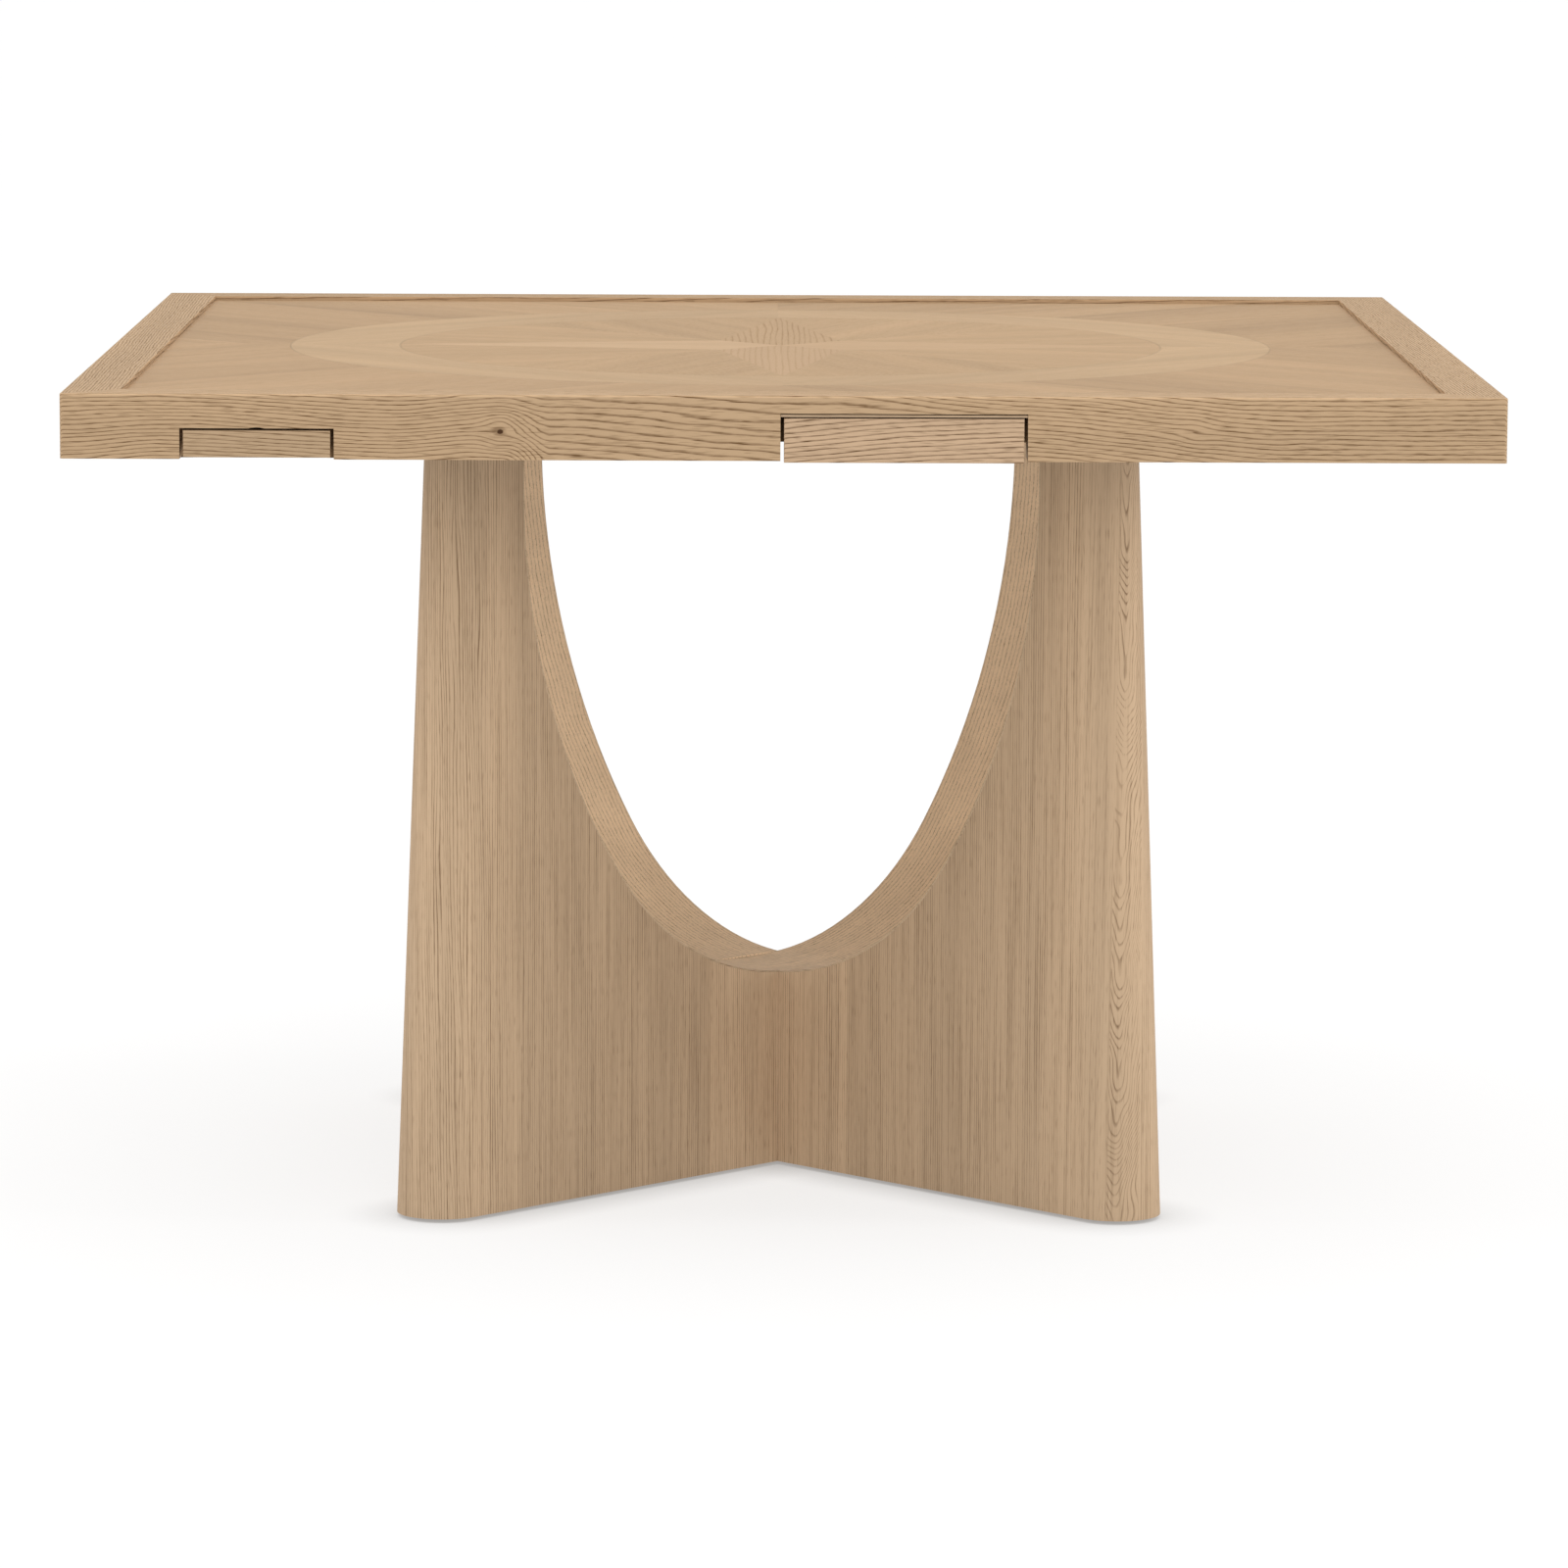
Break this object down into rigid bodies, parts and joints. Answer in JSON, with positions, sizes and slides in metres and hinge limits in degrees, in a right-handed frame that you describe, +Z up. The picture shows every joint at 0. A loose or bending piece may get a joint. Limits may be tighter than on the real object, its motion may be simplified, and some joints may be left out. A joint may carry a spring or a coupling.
{
  "type": "games table",
  "caption": "Square pale oak games table: sunk field with an inlaid compass star, a card drawer and a pull-out cup slide in every rail, on two crossing arched slabs.",
  "frame": {"origin": "on the floor under the middle of the table", "axes": "+Z up, the pictured side faces -Y, +X to its right"},
  "size_m": [1.2192, 1.2192, 0.762],
  "materials": {
    "oak_rail": "flat-sawn pale oak, matt lacquer",
    "oak_front": "pale oak, matt lacquer",
    "oak_veneer": "pale oak veneer, matt lacquer",
    "oak_veneer_light": "light oak veneer, matt lacquer",
    "oak_veneer_dark": "darker oak veneer, matt lacquer",
    "oak_slab": "oak veneered slab with upright grain, matt lacquer",
    "oak_edging": "bent oak edging, matt lacquer",
    "drawer_wood": "sanded maple",
    "drawer_panel": "thin birch plywood",
    "panel_core": "birch plywood core",
    "frame_wood": "planed beech",
    "fastener_steel": "zinc plated",
    "glide_nylon": "off-white nylon"
  },
  "bodies": {
    "table": {"arch_edging_crossing": "oak_edging", "arch_edging_through": "oak_edging", "back_left_corner_field": "oak_veneer", "back_left_ring_segment": "oak_veneer_light", "back_left_sector": "oak_veneer", "back_rail": "oak_rail", "back_right_corner_field": "oak_veneer", "back_right_ring_segment": "oak_veneer_light", "back_right_sector": "oak_veneer", "back_star_point": "oak_veneer_dark", "bearer_lower": "frame_wood", "bearer_upper": "frame_wood", "closing_stops": "frame_wood", "core_panel": "panel_core", "corner_blocks": "frame_wood", "drawer_runners": "frame_wood", "floor_glides": "glide_nylon", "front_left_corner_field": "oak_veneer", "front_left_ring_segment": "oak_veneer_light", "front_left_sector": "oak_veneer", "front_rail": "oak_rail", "front_right_corner_field": "oak_veneer", "front_right_ring_segment": "oak_veneer_light", "front_right_sector": "oak_veneer", "front_star_point": "oak_veneer_dark", "kicker_strips": "oak_rail", "ledger_strips": "frame_wood", "left_rail": "oak_rail", "left_star_point": "oak_veneer_dark", "leg_bolts": "fastener_steel", "right_rail": "oak_rail", "right_star_point": "oak_veneer_dark", "slab_crossing": "oak_slab", "slab_through": "oak_slab", "top_screws": "fastener_steel", "tray_runners": "frame_wood"},
    "front_drawer": {"front_drawer_face": "oak_front", "front_drawer_sides": "drawer_wood", "front_drawer_back": "drawer_wood", "front_drawer_bottom": "drawer_panel"},
    "front_slide": {"front_slide_face": "oak_front", "front_slide_tray": "drawer_wood"},
    "right_drawer": {"right_drawer_face": "oak_front", "right_drawer_sides": "drawer_wood", "right_drawer_back": "drawer_wood", "right_drawer_bottom": "drawer_panel"},
    "right_slide": {"right_slide_face": "oak_front", "right_slide_tray": "drawer_wood"},
    "back_drawer": {"back_drawer_face": "oak_front", "back_drawer_sides": "drawer_wood", "back_drawer_back": "drawer_wood", "back_drawer_bottom": "drawer_panel"},
    "back_slide": {"back_slide_face": "oak_front", "back_slide_tray": "drawer_wood"},
    "left_drawer": {"left_drawer_face": "oak_front", "left_drawer_sides": "drawer_wood", "left_drawer_back": "drawer_wood", "left_drawer_bottom": "drawer_panel"},
    "left_slide": {"left_slide_face": "oak_front", "left_slide_tray": "drawer_wood"}
  },
  "joints": [
    {"name": "front_drawer_pull", "type": "slide", "parent": "table", "child": "front_drawer", "axis": [0, -1, 0], "range_m": [0, 0.17]},
    {"name": "front_slide_pull", "type": "slide", "parent": "table", "child": "front_slide", "axis": [0, -1, 0], "range_m": [0, 0.12]},
    {"name": "right_drawer_pull", "type": "slide", "parent": "table", "child": "right_drawer", "axis": [1, 0, 0], "range_m": [0, 0.17]},
    {"name": "right_slide_pull", "type": "slide", "parent": "table", "child": "right_slide", "axis": [1, 0, 0], "range_m": [0, 0.12]},
    {"name": "back_drawer_pull", "type": "slide", "parent": "table", "child": "back_drawer", "axis": [0, 1, 0], "range_m": [0, 0.17]},
    {"name": "back_slide_pull", "type": "slide", "parent": "table", "child": "back_slide", "axis": [0, 1, 0], "range_m": [0, 0.12]},
    {"name": "left_drawer_pull", "type": "slide", "parent": "table", "child": "left_drawer", "axis": [-1, 0, 0], "range_m": [0, 0.17]},
    {"name": "left_slide_pull", "type": "slide", "parent": "table", "child": "left_slide", "axis": [-1, 0, 0], "range_m": [0, 0.12]}
  ]
}
